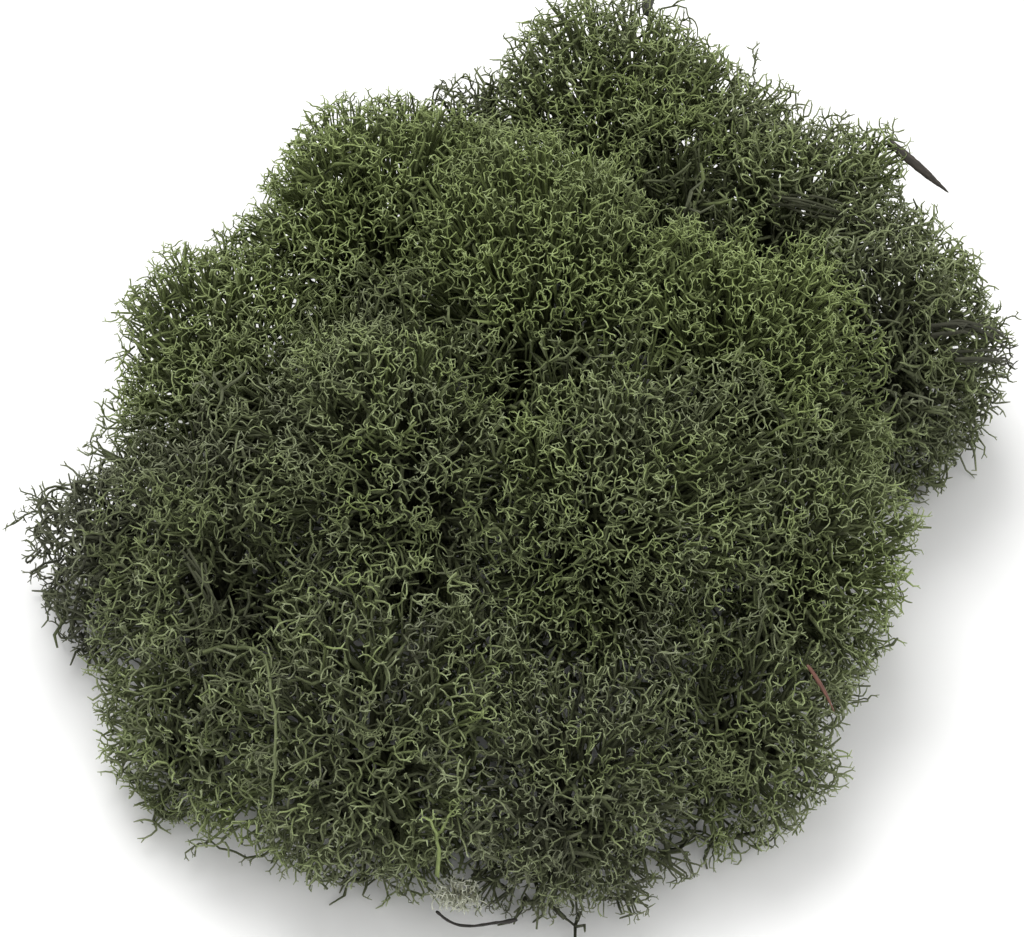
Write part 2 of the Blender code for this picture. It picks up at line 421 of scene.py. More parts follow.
def bent_lines(start, end, start_aim, end_aim, steps, wobble, rng):
    """Curved lines that leave each start and reach each end along the given aims."""
    share = np.linspace(0, 1, steps + 1)[None, :, None]
    reach = np.linalg.norm(end - start, axis=1)[:, None, None]
    lines = (2 * share**3 - 3 * share**2 + 1) * start[:, None]
    lines = lines + (share**3 - 2 * share**2 + share) * reach * start_aim[:, None]
    lines = lines + (3 * share**2 - 2 * share**3) * end[:, None]
    lines = lines + (share**3 - share**2) * reach * end_aim[:, None]
    shake = rng.normal(0, wobble, lines.shape) * np.sin(math.pi * share)
    return lines + shake


def gather(points, count, rng):
    """Groups points round about count middles. Returns the middles and each point's group."""
    middles = points[rng.choice(len(points), min(count, len(points)), replace=False)]
    for _ in range(4):
        apart = ((points[:, None] - middles[None]) ** 2).sum(2)
        group = apart.argmin(1)
        held = np.bincount(group, minlength=len(middles))
        sums = np.stack(
            [np.bincount(group, points[:, k], len(middles)) for k in range(3)], 1
        )
        middles = np.where(held[:, None] > 0, sums / np.maximum(held, 1)[:, None], middles)
    return middles, group


class Tangle:
    """Lines and seats that one head grows along, with a value of each kind at every point."""

    KINDS = ("thickness", "age", "peak", "tint", "vigour", "form", "seat")

    def __init__(self):
        self.places, self.edges, self.aims = [], [], []
        self.values = {kind: [] for kind in self.KINDS}
        self.count = 0

    def add(self, lines, **values):
        """Adds lines, an array of (line, point, xyz). A value may be one number, one for each
        point along a line, or one for each point of each line. Aims are for every point, or
        for the last points only."""
        number, points, _ = lines.shape
        self.places.append(lines.reshape(-1, 3))
        index = np.arange(number * points).reshape(number, points) + self.count
        self.edges.append(np.stack([index[:, :-1], index[:, 1:]], 2).reshape(-1, 2))
        aims = values.pop("aims", None)
        spread = np.zeros((number, points, 3))
        if aims is not None and np.ndim(aims) == 3:
            spread[:] = aims
        elif aims is not None:
            spread[:, -1] = aims
        self.aims.append(spread.reshape(-1, 3))
        for kind in self.KINDS:
            given = np.asarray(values.get(kind, 0.0), float)
            self.values[kind].append(np.broadcast_to(given, (number, points)).reshape(-1))
        self.count += number * points
        return index

    def mesh(self, name):
        mesh = bpy.data.meshes.new(name)
        places = np.concatenate(self.places)
        edges = np.concatenate(self.edges)
        mesh.vertices.add(len(places))
        mesh.vertices.foreach_set("co", places.reshape(-1))
        mesh.edges.add(len(edges))
        mesh.edges.foreach_set("vertices", edges.reshape(-1))
        for kind, values in self.values.items():
            layer = mesh.attributes.new(kind, "FLOAT", "POINT")
            layer.data.foreach_set("value", np.concatenate(values))
        aims = mesh.attributes.new("aim", "FLOAT_VECTOR", "POINT")
        aims.data.foreach_set("vector", np.concatenate(self.aims).reshape(-1))
        return mesh


def spread(first, last, points):
    return np.linspace(first, last, points)


def grow_tangle(node, seats, under_seats, foot_seats, rng):
    """The stalks of one head. Seats are (points, aims, tints, peaks): peaks are how pale the
    tips are."""
    tint, coarse, _ = MOSS_HEADS[node]
    low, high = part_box(node)
    ends = np.concatenate([seats[0], under_seats[0]])
    local = blended(node, 1, ends)
    aims = np.concatenate([seats[1], under_seats[1]])
    tints = np.concatenate([seats[2], under_seats[2]])
    peaks = np.concatenate([seats[3], under_seats[3]])
    foot = foot_seats[0].mean(0)
    core = foot + np.array([0, 0, 0.30 * (high.z - low.z)])
    branches, on_branch = gather(ends, len(ends) // 4, rng)
    branches = branches + (core - branches) * 0.20
    forks, on_fork = gather(branches, len(branches) // 3, rng)
    forks = forks + (core - forks) * 0.42
    rise = unit(forks - core) + np.array([0, 0, 0.35])
    roots = foot + (forks - foot) * np.array([0.82, 0.82, 0])
    roots[:, 2] = 0.1 * MM
    width = {kind: w * (0.6 + 0.4 * coarse) for kind, w in STALK_WIDTHS.items()}
    fork_aims, branch_aims = unit(rise), unit(branches - forks[on_fork])
    up = np.tile((0.0, 0.0, 1.0), (len(forks), 1))
    tangle = Tangle()
    # The stalks darken along the colour map towards the foot. This is partly the moss's older colour and partly
    # painted shade of the tangle's depth.
    lines = bent_lines(roots, forks, up, fork_aims, 5, 0.8 * MM, rng)
    tangle.add(
        lines,
        thickness=spread(width["foot"] * 1.15, width["foot"], 6),
        age=spread(0.02, 0.22, 6),
        tint=tint,
    )
    lines = bent_lines(forks[on_fork], branches, fork_aims[on_fork], branch_aims, 3, 0.6 * MM, rng)
    tangle.add(
        lines,
        thickness=spread(width["fork"] * 1.1, width["branch"] * 1.15, 4),
        age=spread(0.2, 0.42, 4),
        tint=tint,
    )
    number, old = len(ends), np.arange(len(ends)) >= len(seats[0])
    steps = 1 if coarse < 1.06 else 2
    lines = bent_lines(
        branches[on_branch], ends, branch_aims[on_branch], aims, steps, 0.25 * MM, rng
    )
    vigour, seat, form, peak = np.zeros((4, number, steps + 1))
    local[old] = under_seats[4]
    vigour[:, -1] = local * rng.uniform(0.82, 1.25, number)
    seat[:, -1] = 1
    peak[:, -1] = peaks
    form[:, -1] = pick_forms(old, coarse, rng)
    tangle.add(
        lines,
        aims=aims,
        thickness=spread(width["branch"], width["tip"], steps + 1),
        # The lines to the older, deeper seats stop darker. This is partly older colour and partly painted shade
        # of depth.
        age=np.linspace(0.40, np.where(old, 0.35, peaks - 0.45), steps + 1).T,
        tint=tints[:, None],
        peak=peak,
        vigour=vigour,
        form=form,
        seat=seat,
    )
    add_foot_sprigs(tangle, foot_seats, tint, rng)
    return tangle


def pick_forms(old, coarse, rng):
    """A sprig form for every seat: coarse moss has more curled ones."""
    number = len(old)
    curly = rng.random(number) < 0.25 + 1.1 * (coarse - 0.95)
    fine_form = rng.integers(0, FORM_COUNTS["fine"], number)
    curly_form = FORM_COUNTS["fine"] + rng.integers(0, FORM_COUNTS["curly"], number)
    old_form = OLD_START + rng.integers(0, FORM_COUNTS["old"], number)
    return np.where(old, old_form, np.where(curly, curly_form, fine_form))


def add_long_stems(tangle, lines, ways, outs, radius, look, forks, rng):
    """Long stems with curled sprigs at their ends and on a share of the places between."""
    number, points, _ = lines.shape
    tint, age = look
    side = np.cross(ways, outs) * rng.choice((-1, 1), (number, points, 1))
    aims = unit(0.6 * ways + 0.9 * side + rng.uniform(0, 0.8, (number, points, 1)) * outs)
    aims[:, -1] = unit(ways[:, -1] + 0.3 * outs[:, -1])
    seat = (rng.random((number, points)) < forks).astype(float)
    seat[:, 0], seat[:, -1] = 0, 1
    tangle.add(
        lines,
        aims=aims,
        thickness=spread(radius, radius * 0.55, points),
        age=spread(age, age + 0.15, points),
        tint=tint,
        peak=seat * np.minimum(1, age + rng.uniform(0.25, 0.45, (number, points))),
        vigour=seat * rng.uniform(0.85, 1.25, (number, points)),
        form=TWIG_START + rng.integers(0, FORM_COUNTS["twig"], (number, points)),
        seat=seat,
    )


def add_combed_stems(tangle, node, surface, rng):
    """Stems that wander over a head's surface, combed round the clump."""
    count, comb = COMBED.get(node, (0, 0))
    if not count:
        return
    points, normals = surface[0][::4], surface[1][::4]
    tree = KDTree(len(points))
    for i, place in enumerate(points):
        tree.insert(place, i)
    tree.balance()
    lines, ways, outs = np.empty((3, count, STEM_POINTS, 3))
    for row, start in enumerate(rng.choice(len(points), count)):
        place = points[start]
        lift = rng.uniform(*STEM_LIFT)
        swirl = unit(np.cross((0, 0, 1), place)) * rng.choice((-1, 1))
        way = comb * swirl + (1 - comb) * rng.normal(0, 1, 3)
        curl = rng.normal(0, 0.35)
        for k in range(STEM_POINTS):
            near = tree.find(place)[1]
            out = normals[near]
            arch = math.sin(math.pi * min(1, (k + 0.6) / STEM_POINTS))
            rise = lift + (arch - 1) * 2.8 * MM
            place = place + out * (rise - (place - points[near]) @ out)
            way = unit(way - out * (way @ out))
            lines[row, k], ways[row, k], outs[row, k] = place, way, out
            way = unit(way + curl * np.cross(out, way) + 0.2 * comb * swirl + rng.normal(0, 0.30, 3))
            place = place + way * STEM_STEP
    look = tints_at(node, lines[:, 0], rng)[:, None], 0.42
    coarse = MOSS_HEADS[node][1]
    add_long_stems(tangle, lines, ways, outs, 0.17 * MM * coarse, look, 0.36, rng)


def add_strays(tangle, node, surface, rng):
    """Short forked stems that stand off a head's rim."""
    points, normals = surface
    rim = np.flatnonzero(np.abs(normals[:, 2] - 0.2) < 0.45)
    if len(rim) < STRAYS:
        return
    chosen = rng.choice(rim, STRAYS)
    outs = normals[chosen]
    ways = unit(outs + rng.normal(0, 0.45, outs.shape))
    step = rng.uniform(0.6, 1.1, (STRAYS, 1)) * MM
    place = points[chosen] - ways * 2 * MM
    lines, headings = [place], [ways]
    for _ in range(4):
        place = place + ways * step
        ways = unit(ways + rng.normal(0, 0.55, ways.shape))
        lines.append(place)
        headings.append(ways)
    lines, headings = np.stack(lines, 1), np.stack(headings, 1)
    look = tints_at(node, points[chosen], rng)[:, None], 0.35
    crossed = np.repeat(outs[:, None], 5, 1)
    add_long_stems(tangle, lines, headings, crossed, 0.19 * MM, look, 0.45, rng)


def smooth_path(places, steps):
    """A curve through all the places, with a few steps between each two."""
    padded = np.concatenate([[2 * places[0] - places[1]], places, [2 * places[-1] - places[-2]]])
    curve = []
    for k in range(1, len(padded) - 2):
        before, first, last, after = padded[k - 1 : k + 3]
        for share in np.arange(steps) / steps:
            bend = 2 * before - 5 * first + 4 * last - after
            twist = 3 * first - before - 3 * last + after
            step = (last - before) * share + bend * share**2 + twist * share**3
            curve.append(first + step / 2)
    curve.append(padded[-2])
    return np.array(curve)


def add_single_stems(tangle, node, rng):
    middle = middle_of(node)
    for owner, radius, forks, tint, age, places in SINGLE_STEMS:
        if owner != node:
            continue
        line = smooth_path(middle + np.array(places) * MM, 3)
        line[1:-1] += rng.normal(0, 0.16 * MM, (len(line) - 2, 3))
        way = unit(np.gradient(line, axis=0))
        out = unit(line - middle)
        add_long_stems(tangle, line[None], way[None], out[None], radius * MM, (tint, age), forks, rng)
    for owner, radius, count, apart, tint, age, places in BUNDLES:
        if owner != node:
            continue
        paths = np.array([places] * count) + rng.normal(0, 0.5 * apart, (count, len(places), 3))
        paths += rng.normal(0, apart, (count, 1, 3))
        lines = np.stack([smooth_path(middle + path * MM, 3) for path in paths])
        ways, outs = unit(np.gradient(lines, axis=1)), unit(lines - middle)
        add_long_stems(tangle, lines, ways, outs, radius * MM, (tint, age), 0.08, rng)


def add_foot_sprigs(tangle, foot_seats, tint, rng):
    """Old, dark, flattened branches on the torn underside."""
    points, _, _ = foot_seats
    number = len(points)
    turn = rng.uniform(0, 2 * math.pi, number)
    aims = np.stack([np.cos(turn), np.sin(turn), rng.uniform(0, 0.5, number)], 1)
    points = points + np.array([0, 0, 1]) * rng.uniform(0.4, 1.8, number)[:, None] * MM
    lines = np.stack([points - aims * 1.5 * MM, points], 1)
    seat = np.zeros((number, 2))
    seat[:, -1] = 1
    tangle.add(
        lines,
        aims=aims,
        thickness=0.4 * MM,
        age=0.1,
        tint=tint * 0.6,
        vigour=seat * 1.1,
        peak=seat * 0.6,
        form=seat * (OLD_START + rng.integers(0, FORM_COUNTS["old"], number)[:, None]),
        seat=seat,
    )


# ---------------------------------------------------------------- sprigs

# How many shapes of sprig there are: fine ones, curled ones with longer limbs, the coarser,
# older branches under them, and small twigs for long stems.
FORM_COUNTS = {"fine": 16, "curly": 14, "old": 8, "twig": 10}
OLD_START = FORM_COUNTS["fine"] + FORM_COUNTS["curly"]
TWIG_START = OLD_START + FORM_COUNTS["old"]

# A sprig's sizes: its first branch's radius, the lengths of its trunk, limbs and tips, how
# many limbs it may have, how far they lean out and how much they curl round it at a joint.
SPRIG_SIZES = {
    "fine": {
        "radius": 0.145 * MM,
        "trunk": (0.3 * MM, 0.7 * MM),
        "limb": (0.50 * MM, 0.75 * MM),
        "joints": 2,
        "tip": (0.45 * MM, 0.75 * MM),
        "limbs": (2, 3, 3, 3),
        "tips": (1, 2, 2),
        "lean": (0.75, 1.55),
        "curl": (0.2, 0.9),
    },
    "curly": {
        "radius": 0.160 * MM,
        "trunk": (0.3 * MM, 0.7 * MM),
        "limb": (0.60 * MM, 0.85 * MM),
        "joints": 3,
        "tip": (0.45 * MM, 0.80 * MM),
        "limbs": (1, 2, 2, 3),
        "tips": (1, 2, 2),
        "lean": (0.90, 1.65),
        "curl": (0.3, 0.9),
    },
    "old": {
        "radius": 0.30 * MM,
        "trunk": (0.8 * MM, 1.5 * MM),
        "limb": (1.8 * MM, 2.8 * MM),
        "joints": 1,
        "tip": (1.5 * MM, 2.4 * MM),
        "limbs": (2, 3, 3),
        "tips": (1,),
        "lean": (0.9, 1.5),
        "curl": (0.0, 0.1),
    },
    "twig": {
        "radius": 0.150 * MM,
        "trunk": (0.4 * MM, 0.8 * MM),
        "limb": (0.55 * MM, 0.80 * MM),
        "joints": 1,
        "tip": (0.45 * MM, 0.80 * MM),
        "limbs": (1, 2, 2),
        "tips": (1, 2, 2),
        "lean": (0.50, 1.20),
        "curl": (0.0, 0.1),
    },
}


class Sprig:
    """A small spray of end branches, forked and curled, as rings of three joined corners."""

    def __init__(self, sizes, rng):
        self.sizes, self.rng = sizes, rng
        self.places, self.faces, self.along, self.side = [], [], [], []

    def size(self, name):
        return self.rng.uniform(*self.sizes[name])

    def corner(self, place, along, side):
        self.places.append(place)
        self.along.append(along)
        self.side.append(side)
        return len(self.places) - 1

    def ring(self, place, way, across, radius, along):
        """Three corners round a point. Returns them with the sideways direction carried on."""
        across = unit(across - way * (across @ way))
        other = np.cross(way, across)
        corners = []
        for k in range(3):
            turn = 2 * math.pi * k / 3
            out = across * math.cos(turn) + other * math.sin(turn)
            corners.append(self.corner(place + radius * out, along, k))
        return corners, across

    def turned(self, way, lean, about):
        """A direction that leans out from way, turned about it."""
        across = unit(np.cross(way, (0.31, 0.17, 0.93)))
        other = np.cross(way, across)
        side = across * math.cos(about) + other * math.sin(about)
        return unit(way * math.cos(lean) + side * math.sin(lean))

    def branch(self, start, way, length, taper=0.90, bend=0.35, curl=0.0):
        """Grows one joint from a ring. A start is (ring, across, place, radius, along)."""
        ring, across, place, radius, along = start
        place = place + way * length
        bent = self.turned(way, bend * self.rng.uniform(0.3, 1.2), self.rng.uniform(0, 6.3))
        x, y, z = bent
        bent = np.array((
            x * math.cos(curl) - y * math.sin(curl), x * math.sin(curl) + y * math.cos(curl), z
        ))
        radius *= taper
        along = min(1.0, along + 1 / (self.sizes["joints"] + 2))
        fresh, across = self.ring(place, bent, across, radius, along)
        for k in range(3):
            n = (k + 1) % 3
            self.faces.append((ring[k], ring[n], fresh[n], fresh[k]))
        return (fresh, across, place, radius, along), bent

    def tip(self, start, way, length):
        """A last joint with a blunt end."""
        (ring, *_), _ = self.branch(start, way, length, taper=0.55, bend=0.5)
        self.faces.append(tuple(ring))

    def grow(self):
        rng, radius = self.rng, self.sizes["radius"]
        up, across = np.array((0.0, 0.0, 1.0)), np.array((1.0, 0.0, 0.0))
        ring, across = self.ring(np.zeros(3), up, across, radius, 0.0)
        trunk, way = self.branch((ring, across, np.zeros(3), radius, 0.0), up, self.size("trunk"))
        limbs = int(rng.choice(self.sizes["limbs"]))
        first = rng.uniform(0, 6.3)
        for k in range(limbs):
            about = first + 2 * math.pi * k / limbs + rng.normal(0, 0.35)
            limb, onward = trunk, self.turned(way, self.size("lean"), about)
            curl = self.size("curl") * rng.choice((-1, 1))
            for _ in range(self.sizes["joints"]):
                limb, onward = self.branch(limb, onward, self.size("limb"), bend=0.6, curl=curl)
            self.fork(limb, onward)
        return self.mesh()

    def fork(self, limb, onward):
        """Splits the end of a limb into curled tips."""
        rng = self.rng
        tips = int(rng.choice(self.sizes["tips"]))
        about = rng.uniform(0, 6.3)
        for k in range(tips):
            way = self.turned(onward, rng.uniform(0.35, 0.95), about + 2 * math.pi * k / tips)
            self.tip(limb, way, self.size("tip"))

    def mesh(self):
        mesh = bpy.data.meshes.new("sprig")
        mesh.from_pydata([tuple(p) for p in self.places], [], self.faces)
        for kind, values in (("along", self.along), ("side", self.side)):
            layer = mesh.attributes.new(kind, "FLOAT", "POINT")
            layer.data.foreach_set("value", np.array(values, float))
        return mesh


def sprig_forms(rng):
    """A collection of sprig shapes for the heads to pick from, fine ones first."""
    kept = bpy.data.collections.new("sprig_forms")
    sizes = [SPRIG_SIZES[kind] for kind, count in FORM_COUNTS.items() for _ in range(count)]
    for k, size in enumerate(sizes):
        kept.objects.link(bpy.data.objects.new(f"sprig_{k:02d}", Sprig(size, rng).grow()))
    return kept


# ---------------------------------------------------------------- the tree that grows a head


class Tree:
    """A Geometry Nodes tree under construction: add() makes a node, and link() joins two."""

    def __init__(self, name):
        self.group = bpy.data.node_groups.new(name, "GeometryNodeTree")
        self.names = {}

    def socket(self, name, kind, default=None, output=False):
        way = "OUTPUT" if output else "INPUT"
        made = self.group.interface.new_socket(name, in_out=way, socket_type=kind)
        if default is not None:
            made.default_value = default
        self.names[name] = made.identifier
        return made

    def add(self, kind, settings=None, **inputs):
        node = self.group.nodes.new(kind)
        for key, value in (settings or {}).items():
            setattr(node, key, value)
        for key, value in inputs.items():
            self.link(value, node.inputs[key.replace("_", " ")])
        return node

    def link(self, value, socket):
        if hasattr(value, "is_output"):
            self.group.links.new(value, socket)
        else:
            socket.default_value = value

    def named(self, name, kind="FLOAT"):
        node = self.add("GeometryNodeInputNamedAttribute", {"data_type": kind}, Name=name)
        return node.outputs["Attribute"]

    def math(self, operation, first, second=0.0):
        node = self.add("ShaderNodeMath", {"operation": operation})
        self.link(first, node.inputs[0])
        self.link(second, node.inputs[1])
        return node.outputs[0]


MAP_EDGE = 0.03  # kept free round the colour map
CORNER_STEP = 0.007  # width of one side of a stalk on the colour map


def moss_tree():
    """Skins a head's lines as stalks and sets a sprig on each seat. It also lays the colour map OFBake: across it
    the tint, and up it the age and painted depth shade, from the dark foot to the pale tips."""
    tree = Tree("moss_head")
    tree.socket("Lines", "NodeSocketGeometry")
    tree.socket("Stalk corners", "NodeSocketInt", SIDES)
    tree.socket("Stalk width", "NodeSocketFloat", 1.0)
    tree.socket("Sprig size", "NodeSocketFloat", 1.0)
    tree.socket("Seed", "NodeSocketInt", 1)
    tree.socket("Sprigs", "NodeSocketCollection")
    tree.socket("Finish", "NodeSocketMaterial")
    tree.socket("Moss", "NodeSocketGeometry", output=True)
    given = tree.add("NodeGroupInput").outputs

    ring = tree.add("GeometryNodeCurvePrimitiveCircle", Resolution=given["Stalk corners"], Radius=1.0)
    numbered = tree.add(
        "GeometryNodeStoreNamedAttribute",
        {"data_type": "FLOAT", "domain": "POINT"},
        Geometry=ring.outputs["Curve"],
        Name="side",
        Value=tree.add("GeometryNodeInputIndex").outputs[0],
    )
    curves = tree.add("GeometryNodeMeshToCurve", Mesh=given["Lines"])
    stalks = tree.add(
        "GeometryNodeCurveToMesh",
        Curve=curves.outputs["Curve"],
        Profile_Curve=numbered.outputs["Geometry"],
        Scale=tree.math("MULTIPLY", tree.named("thickness"), given["Stalk width"]),
        Fill_Caps=False,
    )

    seats = tree.add("FunctionNodeCompare", {"data_type": "FLOAT", "operation": "GREATER_THAN"})
    tree.link(tree.named("seat"), seats.inputs[0])
    tree.link(0.5, seats.inputs[1])
    kinds = tree.add(
        "GeometryNodeCollectionInfo",
        Collection=given["Sprigs"],
        Separate_Children=True,
        Reset_Children=True,
    )
    aimed = tree.add("FunctionNodeAlignRotationToVector", {"axis": "Z"}, Vector=tree.named("aim", "FLOAT_VECTOR"))
    spin = tree.add("FunctionNodeRandomValue", {"data_type": "FLOAT"}, Seed=given["Seed"])
    spin.inputs[3].default_value = 2 * math.pi
    turn = tree.add("FunctionNodeAxisAngleToRotation", Angle=spin.outputs[1])
    turned = tree.add("FunctionNodeRotateRotation", {"rotation_space": "LOCAL"})
    tree.link(aimed.outputs[0], turned.inputs[0])
    tree.link(turn.outputs[0], turned.inputs[1])
    sprigs = tree.add(
        "GeometryNodeInstanceOnPoints",
        Points=given["Lines"],
        Selection=seats.outputs[0],
        Instance=kinds.outputs[0],
        Pick_Instance=True,
        Instance_Index=tree.named("form"),
        Rotation=turned.outputs[0],
        Scale=tree.math("MULTIPLY", tree.named("vigour"), given["Sprig size"]),
    )
    both = tree.add("GeometryNodeJoinGeometry")
    tree.link(sprigs.outputs[0], both.inputs[0])
    tree.link(stalks.outputs[0], both.inputs[0])
    solid = tree.add("GeometryNodeRealizeInstances", Geometry=both.outputs[0])

    side, age = tree.named("side"), tree.named("age")
    left = tree.math("SUBTRACT", tree.named("peak"), age)
    grown = tree.math("MULTIPLY", tree.named("along"), left)
    across = tree.math("MULTIPLY", tree.math("SUBTRACT", side, 1.0), CORNER_STEP)
    across = tree.math("ADD", across, tree.math("MULTIPLY", tree.named("tint"), 1 - 2 * MAP_EDGE))
    middle = tree.math("COMPARE", side, 1.0)
    up = tree.math("MULTIPLY", tree.math("ADD", age, grown), 1 - 2 * MAP_EDGE)
    up = tree.math("ADD", up, tree.math("MULTIPLY", middle, CORNER_STEP))
    place = tree.add(
        "ShaderNodeCombineXYZ",
        X=tree.math("ADD", across, MAP_EDGE),
        Y=tree.math("ADD", up, MAP_EDGE),
    )
    mapped = tree.add(
        "GeometryNodeStoreNamedAttribute",
        {"data_type": "FLOAT2", "domain": "CORNER"},
        Geometry=solid.outputs[0],
        Name="OFBake",
        Value=place.outputs[0],
    )
    smooth = tree.add("GeometryNodeSetShadeSmooth", Geometry=mapped.outputs[0])
    finished = tree.add("GeometryNodeSetMaterial", Geometry=smooth.outputs[0], Material=given["Finish"])
    out = tree.add("NodeGroupOutput")
    tree.link(finished.outputs[0], out.inputs[0])
    return tree


def press_on_ground(mesh):
    """Flattens what would pass through the ground against it, as under the moss's own weight."""
    places = np.empty(len(mesh.vertices) * 3)
    mesh.vertices.foreach_get("co", places)
    places = places.reshape(-1, 3)
    z = places[:, 2]
    low = z < PRESS_HEIGHT
    places[low, 2] = PRESS_HEIGHT * np.exp(z[low] / PRESS_HEIGHT - 1)
    mesh.vertices.foreach_set("co", places.reshape(-1))
    mesh.update()


def grow_head(node, tangle, tree, sprigs, finish, seed):
    """One head's finished mesh, as a piece that stands for its CAD node."""
    piece = bpy.data.objects.new(node + "_moss", tangle.mesh(node + "_lines"))
    bpy.context.scene.collection.objects.link(piece)
    growth = piece.modifiers.new("growth", "NODES")
    growth.node_group = tree.group
    growth[tree.names["Stalk corners"]] = SIDES
    growth[tree.names["Stalk width"]] = 1.0
    growth[tree.names["Sprig size"]] = 1.0
    growth[tree.names["Seed"]] = seed
    growth[tree.names["Sprigs"]] = sprigs
    growth[tree.names["Finish"]] = finish
    graph = bpy.context.evaluated_depsgraph_get()
    grown = bpy.data.meshes.new_from_object(
        piece.evaluated_get(graph), preserve_all_data_layers=True, depsgraph=graph
    )
    piece.modifiers.remove(growth)
    piece.data = grown
    grown.name = piece.name
    for kind in (*Tangle.KINDS, "aim", "along", "side"):
        if kind in grown.attributes:
            grown.attributes.remove(grown.attributes[kind])
    press_on_ground(grown)
    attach(piece, "root")
    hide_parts(node)
    return piece


# ---------------------------------------------------------------- finishes


class Finish:
    """A Principled material under construction."""

    def __init__(self, name):
        self.material = bpy.data.materials.new(name)
        self.material.use_nodes = True
        self.nodes = self.material.node_tree.nodes
        self.links = self.material.node_tree.links
        self.shader = self.nodes["Principled BSDF"]

    def add(self, kind, settings=None, **inputs):
        node = self.nodes.new(kind)
        for key, value in (settings or {}).items():
            setattr(node, key, value)
        for key, value in inputs.items():
            self.link(value, node.inputs[key.replace("_", " ")])
        return node

    def link(self, value, socket):
        if hasattr(value, "is_output"):
            self.links.new(value, socket)
        else:
            socket.default_value = value

    def ramp(self, value, stops):
        node = self.add("ShaderNodeValToRGB", Fac=value)
        ramp = node.color_ramp
        while len(ramp.elements) < len(stops):
            ramp.elements.new(1.0)
        for element, (place, colour) in zip(ramp.elements, stops):
            element.position = place
            element.color = (*colour, 1)
        return node.outputs["Color"]

    def mix(self, share, first, second, blend="MIX"):
        node = self.add("ShaderNodeMix", {"data_type": "RGBA", "blend_type": blend})
        self.link(share, node.inputs[0])
        self.link(first, node.inputs[6])
        self.link(second, node.inputs[7])
        return node.outputs[2]


GREY_MOSS = (
    (0.0, (0.038, 0.038, 0.024)),
    (0.30, (0.052, 0.054, 0.034)),
    (0.55, (0.095, 0.101, 0.062)),
    (0.80, (0.176, 0.188, 0.122)),
    (1.0, (0.295, 0.312, 0.222)),
)
GREEN_MOSS = (
    (0.0, (0.038, 0.044, 0.013)),
    (0.30, (0.062, 0.077, 0.022)),
    (0.55, (0.138, 0.175, 0.053)),
    (0.80, (0.268, 0.332, 0.118)),
    (1.0, (0.398, 0.478, 0.225)),
)
UNDYED_MOSS = (
    (0.0, (0.26, 0.26, 0.18)),
    (0.30, (0.36, 0.36, 0.27)),
    (0.55, (0.48, 0.49, 0.38)),
    (0.80, (0.60, 0.61, 0.50)),
    (1.0, (0.72, 0.73, 0.62)),
)


def moss_finish(name, shade, ends=(GREY_MOSS, GREEN_MOSS)):
    """Dyed moss: dull and dark at the foot, and lighter and greyer towards the tips, which took less dye. The
    dark foot end is partly the moss's own older colour and partly painted shade of the deep tangle, read from the
    colour map's height. The colour map's width turns it from grey-olive to bright green."""
    made = Finish(name)
    place = made.add("ShaderNodeUVMap", {"uv_map": "OFBake"}).outputs["UV"]
    split = made.add("ShaderNodeSeparateXYZ", Vector=place)
    tint, age = split.outputs["X"], split.outputs["Y"]
    # The ramps run from dark at the foot to pale at the tips. The dark end is partly older colour and partly
    # painted shade of depth.
    first, last = [
        made.ramp(age, [(p, tuple(c * shade for c in colour)) for p, colour in stops])
        for stops in ends
    ]
    colour = made.mix(tint, first, last)
    grain = made.add("ShaderNodeTexNoise", Vector=place, Scale=60.0, Detail=2.0)
    mottled = made.ramp(grain.outputs["Fac"], ((0.3, (0.72, 0.74, 0.70)), (0.7, (1.2, 1.2, 1.2))))
    made.link(made.mix(1.0, colour, mottled, "MULTIPLY"), made.shader.inputs["Base Color"])
    rough = made.add("ShaderNodeMapRange", Value=grain.outputs["Fac"], To_Min=0.72, To_Max=0.92)
    made.link(rough.outputs["Result"], made.shader.inputs["Roughness"])
    made.shader.inputs["Specular IOR Level"].default_value = 0.35
    made.shader.inputs["Sheen Weight"].default_value = 0.0
    return made.material


def streaked_finish(name, along, dark, light, grain, roughness, relief):
    """Wood, bark or leaf with streaks along one direction. grain is the size of a streak's
    width, and relief is how deep the streaks are."""
    made = Finish(name)
    place = made.add("ShaderNodeTexCoord").outputs["Object"]
    turn = Vector(along).to_track_quat("X", "Z").inverted().to_euler()
    turned = made.add("ShaderNodeMapping", Vector=place, Rotation=turn)
    drawn = made.add("ShaderNodeMapping", Vector=turned.outputs[0], Scale=(0.12, 1, 1))
    streaks = made.add(
        "ShaderNodeTexNoise", Vector=drawn.outputs[0], Scale=1 / grain, Detail=3.0, Roughness=0.6
    )
    colour = made.ramp(streaks.outputs["Fac"], ((0.32, dark), (0.68, light)))
    made.link(colour, made.shader.inputs["Base Color"])
    rough = made.add(
        "ShaderNodeMapRange",
        Value=streaks.outputs["Fac"],
        To_Min=roughness - 0.1,
        To_Max=roughness + 0.1,
    )
    made.link(rough.outputs["Result"], made.shader.inputs["Roughness"])
    bump = made.add(
        "ShaderNodeBump", Height=streaks.outputs["Fac"], Strength=0.6, Distance=relief
    )
    made.link(bump.outputs["Normal"], made.shader.inputs["Normal"])
    return made.material


# ---------------------------------------------------------------- the clump


